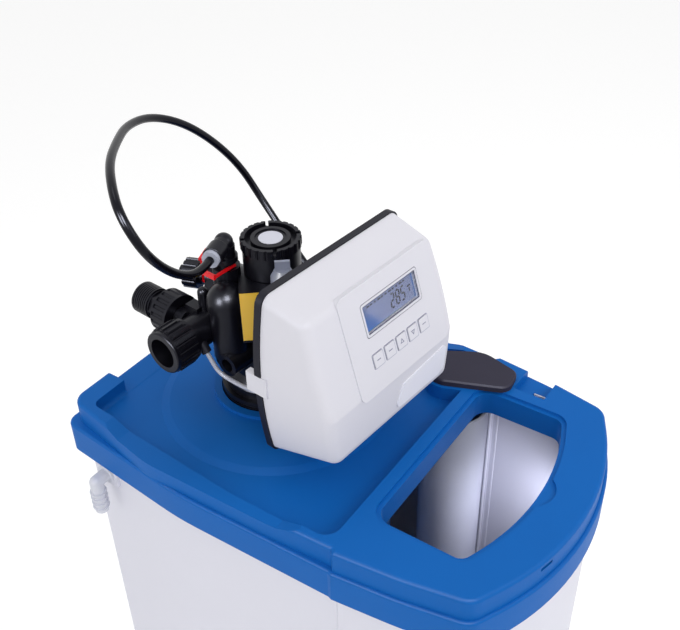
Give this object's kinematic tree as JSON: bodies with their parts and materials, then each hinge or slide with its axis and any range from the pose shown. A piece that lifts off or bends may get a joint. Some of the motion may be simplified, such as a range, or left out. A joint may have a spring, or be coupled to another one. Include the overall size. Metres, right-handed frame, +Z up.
{
  "type": "water softener",
  "caption": "Cabinet water softener: white cabinet, blue moulded deck with a salt opening, a pressure tank inside and a control valve with a covered drive on its neck.",
  "frame": {"origin": "on the floor, under the middle of the deck", "axes": "+X to the right seen from the front, +Y to the back, +Z up"},
  "size_m": [0.3397, 0.508, 1.1784],
  "materials": {
    "black_plastic": "matte",
    "board": "satin",
    "buttons": "satin",
    "cabinet": "satin",
    "cable": "matte",
    "clear": "clear",
    "cover": "satin",
    "deck": "satin",
    "display": "gloss",
    "hose": "gloss",
    "red_plastic": "gloss",
    "resin": "grainy",
    "rubber": "matte",
    "steel": "brushed",
    "sticker": "satin",
    "tank": "satin",
    "valve": "satin",
    "white_plastic": "satin",
    "yellow_card": "matte"
  },
  "bodies": {
    "softener": {"air_check": "clear", "back_plate": "black_plastic", "brine_clip": "red_plastic", "brine_hose": "hose", "brine_well_tube": "white_plastic", "cabinet_shell": "cabinet", "circuit_board": "board", "display_module": "display", "drain_clip": "red_plastic", "drain_nut": "valve", "drain_tail": "valve", "drive_bracket": "black_plastic", "drive_cap": "valve", "float_bracket": "white_plastic", "hose_elbow": "valve", "hose_grip_ring": "white_plastic", "hose_grommet": "black_plastic", "hose_nut": "valve", "injector_cap": "valve", "injector_sticker": "sticker", "inlet_nut": "valve", "inlet_tail": "valve", "lower_distributor": "white_plastic", "meter_cable": "cable", "meter_plug": "black_plastic", "motor": "steel", "outlet_socket": "valve", "overflow_elbow": "white_plastic", "overflow_nut": "white_plastic", "pickup_tube": "hose", "plate_screws": "steel", "refill_plug": "clear", "resin_bed": "resin", "resin_tank": "tank", "riser_tube": "white_plastic", "salt_grid": "white_plastic", "seal_stack": "rubber", "tank_base": "black_plastic", "tank_collar": "valve", "top_deck": "deck", "upper_distributor": "white_plastic", "valve_body": "valve", "yellow_tag": "yellow_card"},
    "cover": {"front_cover": "cover", "display_window": "clear", "name_plate": "cover"},
    "well_cap": {"brine_well_cap": "black_plastic"},
    "float": {"brine_float": "white_plastic"},
    "drive": {"drive_gear": "white_plastic"},
    "reduction": {"reduction_gear": "white_plastic"},
    "pinion": {"motor_pinion": "white_plastic"},
    "piston_unit": {"piston": "white_plastic", "piston_rod": "steel"},
    "turbine": {"meter_turbine": "white_plastic"},
    "key_1": {"button_1": "buttons"},
    "key_2": {"button_2": "buttons"},
    "key_3": {"button_3": "buttons"},
    "key_4": {"button_4": "buttons"},
    "key_5": {"button_5": "buttons"}
  },
  "joints": [
    {"name": "cover_off", "type": "slide", "parent": "softener", "child": "cover", "axis": [-0.0941, -0.9956, 0], "range_m": [0, 0.12]},
    {"name": "well_cap_off", "type": "slide", "parent": "softener", "child": "well_cap", "axis": [0, 0, 1], "range_m": [0, 0.06]},
    {"name": "float_rise", "type": "slide", "parent": "softener", "child": "float", "axis": [0, 0, 1], "range_m": [0, 0.03]},
    {"name": "drive_turn", "type": "hinge", "parent": "softener", "child": "drive", "pos_m": [-0.00941, 0.00144, 0.988], "axis": [-0.0941, -0.9956, 0], "range_deg": [0, 360]},
    {"name": "reduction_turn", "type": "hinge", "parent": "softener", "child": "reduction", "pos_m": [-0.00941, 0.00144, 1.027], "axis": [-0.0941, -0.9956, 0], "range_deg": [-1200, 0]},
    {"name": "pinion_turn", "type": "hinge", "parent": "softener", "child": "pinion", "pos_m": [-0.04077, 0.00441, 1.027], "axis": [-0.0941, -0.9956, 0], "range_deg": [0, 3000]},
    {"name": "piston_slide", "type": "slide", "parent": "softener", "child": "piston_unit", "axis": [0.0941, 0.9956, 0], "range_m": [0, 0.03]},
    {"name": "turbine_spin", "type": "hinge", "parent": "softener", "child": "turbine", "pos_m": [-0.0771, 0.13541, 0.986], "axis": [0.9956, -0.0941, 0], "continuous": true},
    {"name": "press_1", "type": "slide", "parent": "cover", "child": "key_1", "axis": [0.0901, 0.9527, -0.2903], "range_m": [0, 0.001], "stiffness_N_per_m": 300, "springref_m": -0.001},
    {"name": "press_2", "type": "slide", "parent": "cover", "child": "key_2", "axis": [0.0901, 0.9527, -0.2903], "range_m": [0, 0.001], "stiffness_N_per_m": 300, "springref_m": -0.001},
    {"name": "press_3", "type": "slide", "parent": "cover", "child": "key_3", "axis": [0.0901, 0.9527, -0.2903], "range_m": [0, 0.001], "stiffness_N_per_m": 300, "springref_m": -0.001},
    {"name": "press_4", "type": "slide", "parent": "cover", "child": "key_4", "axis": [0.0901, 0.9527, -0.2903], "range_m": [0, 0.001], "stiffness_N_per_m": 300, "springref_m": -0.001},
    {"name": "press_5", "type": "slide", "parent": "cover", "child": "key_5", "axis": [0.0901, 0.9527, -0.2903], "range_m": [0, 0.001], "stiffness_N_per_m": 300, "springref_m": -0.001}
  ],
  "couplings": [
    {"joint": "reduction_turn", "follows": "drive_turn", "ratio": -3.3333},
    {"joint": "pinion_turn", "follows": "drive_turn", "ratio": 8.3333},
    {"joint": "piston_slide", "follows": "drive_turn", "m_per_rad": 0.0047746}
  ]
}
